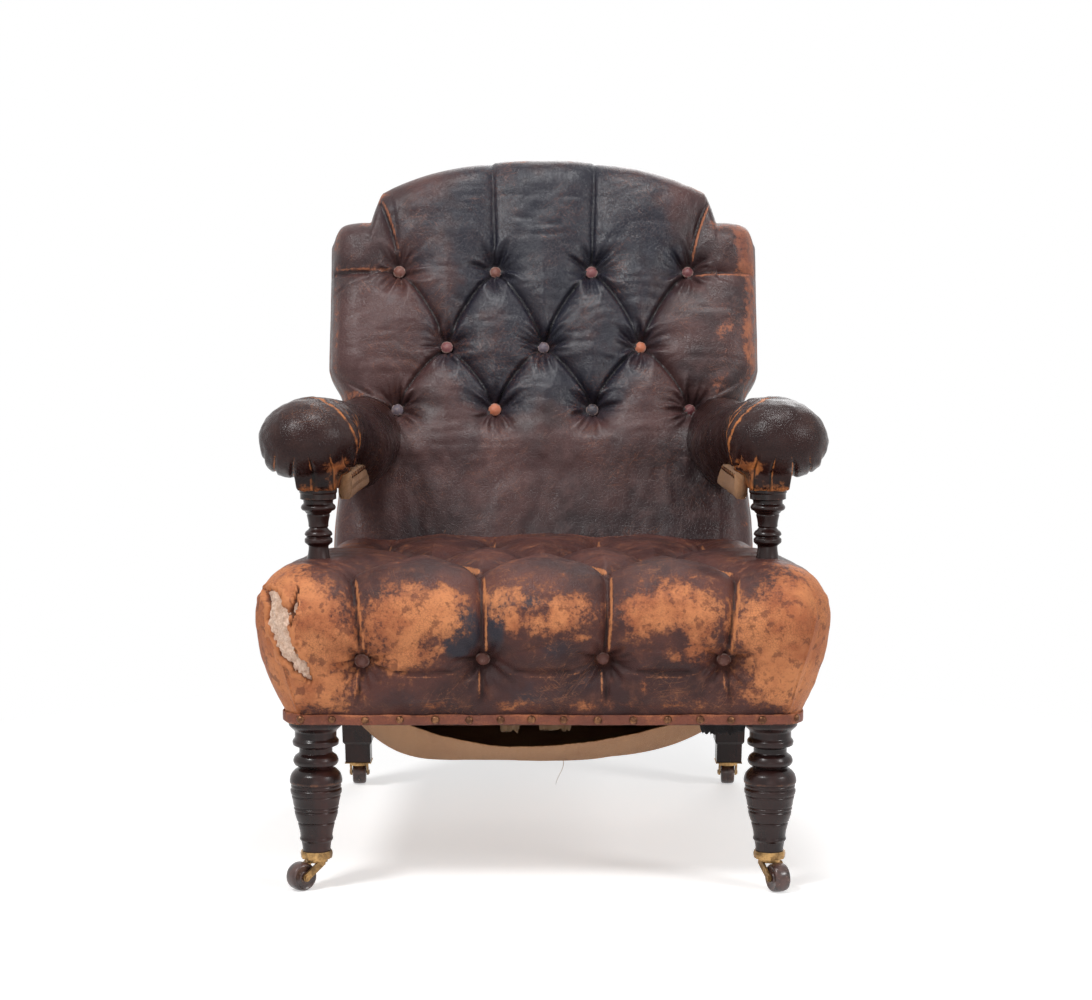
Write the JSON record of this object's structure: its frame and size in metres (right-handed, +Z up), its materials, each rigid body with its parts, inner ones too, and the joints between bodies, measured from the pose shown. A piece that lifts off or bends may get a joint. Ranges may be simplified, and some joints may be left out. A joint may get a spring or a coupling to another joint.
{
  "type": "worn club chair",
  "caption": "Worn deep-buttoned leather armchair with a reclined back, open padded arms on turned posts, turned front legs and brass casters",
  "frame": {"origin": "centre of the chair's bounding box on the floor that it stands on", "axes": "+Z up, the chair faces -Y, -X is the left of the front view"},
  "size_m": [0.6932, 0.8496, 0.9045],
  "materials": {
    "mahogany": "dark red-brown french polish, glossy, rubbed at the edges",
    "beech": "unpolished frame timber",
    "dark_leather": "blue-black to purple-brown leather, scuffed, with tan wear on the edges",
    "tan_leather": "orange-tan leather with dark purple-brown and black patches, cracked and rubbed",
    "hessian": "coarse dusty hessian, frayed",
    "webbing": "jute webbing",
    "hair": "curled hair stuffing",
    "wadding": "cream cotton wadding",
    "spring_steel": "dull coiled spring wire",
    "brass": "tarnished brass",
    "wheel_brown": "dark brown glazed ceramic wheel, chipped and dull"
  },
  "bodies": {
    "chair_frame": {"arm_cover_left": "dark_leather", "arm_cover_right": "dark_leather", "arm_lining_left": "hessian", "arm_lining_right": "hessian", "arm_post_left": "mahogany", "arm_post_right": "mahogany", "arm_rail_left": "beech", "arm_rail_right": "beech", "arm_stuffing_left": "hair", "arm_stuffing_right": "hair", "back_cover": "dark_leather", "back_hessian": "hessian", "back_rail": "beech", "back_stay_rail": "beech", "back_stuffing": "hair", "back_webbing": "webbing", "bottom_cloth": "hessian", "caster_cup_front_left": "brass", "caster_cup_front_right": "brass", "caster_cup_rear_left": "brass", "caster_cup_rear_right": "brass", "corner_block_left": "beech", "corner_block_right": "beech", "crest_rail": "beech", "front_leg_left": "mahogany", "front_leg_right": "mahogany", "front_rail": "beech", "leather_banding": "tan_leather", "outside_back": "dark_leather", "rear_leg_left": "mahogany", "rear_leg_right": "mahogany", "seat_cover": "tan_leather", "seat_spring_front_centre": "spring_steel", "seat_spring_front_left": "spring_steel", "seat_spring_front_right": "spring_steel", "seat_spring_middle_centre": "spring_steel", "seat_spring_middle_left": "spring_steel", "seat_spring_middle_right": "spring_steel", "seat_spring_rear_centre": "spring_steel", "seat_spring_rear_left": "spring_steel", "seat_spring_rear_right": "spring_steel", "seat_stuffing": "hair", "seat_webbing": "webbing", "side_rail_left": "beech", "side_rail_right": "beech", "spring_hessian": "hessian", "torn_wadding": "wadding"},
    "swivel_front_left": {"caster_yoke_front_left": "brass", "caster_axle_front_left": "brass"},
    "wheel_front_left": {"caster_wheel_front_left": "wheel_brown"},
    "swivel_front_right": {"caster_yoke_front_right": "brass", "caster_axle_front_right": "brass"},
    "wheel_front_right": {"caster_wheel_front_right": "wheel_brown"},
    "swivel_rear_left": {"caster_yoke_rear_left": "brass", "caster_axle_rear_left": "brass"},
    "wheel_rear_left": {"caster_wheel_rear_left": "wheel_brown"},
    "swivel_rear_right": {"caster_yoke_rear_right": "brass", "caster_axle_rear_right": "brass"},
    "wheel_rear_right": {"caster_wheel_rear_right": "wheel_brown"}
  },
  "joints": [
    {"name": "front_left_swivel", "type": "hinge", "parent": "chair_frame", "child": "swivel_front_left", "pos_m": [-0.2735, -0.35145, 0.0385], "axis": [0, 0, 1], "continuous": true},
    {"name": "front_left_roll", "type": "hinge", "parent": "swivel_front_left", "child": "wheel_front_left", "pos_m": [-0.29084, -0.365, 0.0172], "axis": [-0.6157, 0.788, 0], "continuous": true},
    {"name": "front_right_swivel", "type": "hinge", "parent": "chair_frame", "child": "swivel_front_right", "pos_m": [0.2735, -0.35145, 0.0385], "axis": [0, 0, 1], "continuous": true},
    {"name": "front_right_roll", "type": "hinge", "parent": "swivel_front_right", "child": "wheel_front_right", "pos_m": [0.28192, -0.37178, 0.0172], "axis": [-0.9239, -0.3827, 0], "continuous": true},
    {"name": "rear_left_swivel", "type": "hinge", "parent": "chair_frame", "child": "swivel_rear_left", "pos_m": [-0.2685, 0.25155, 0.0385], "axis": [0, 0, 1], "continuous": true},
    {"name": "rear_left_roll", "type": "hinge", "parent": "swivel_rear_left", "child": "wheel_rear_left", "pos_m": [-0.26927, 0.27354, 0.0172], "axis": [0.9994, 0.0349, 0], "continuous": true},
    {"name": "rear_right_swivel", "type": "hinge", "parent": "chair_frame", "child": "swivel_rear_right", "pos_m": [0.2685, 0.25155, 0.0385], "axis": [0, 0, 1], "continuous": true},
    {"name": "rear_right_roll", "type": "hinge", "parent": "swivel_rear_right", "child": "wheel_rear_right", "pos_m": [0.26927, 0.27354, 0.0172], "axis": [0.9994, -0.0349, 0], "continuous": true}
  ]
}
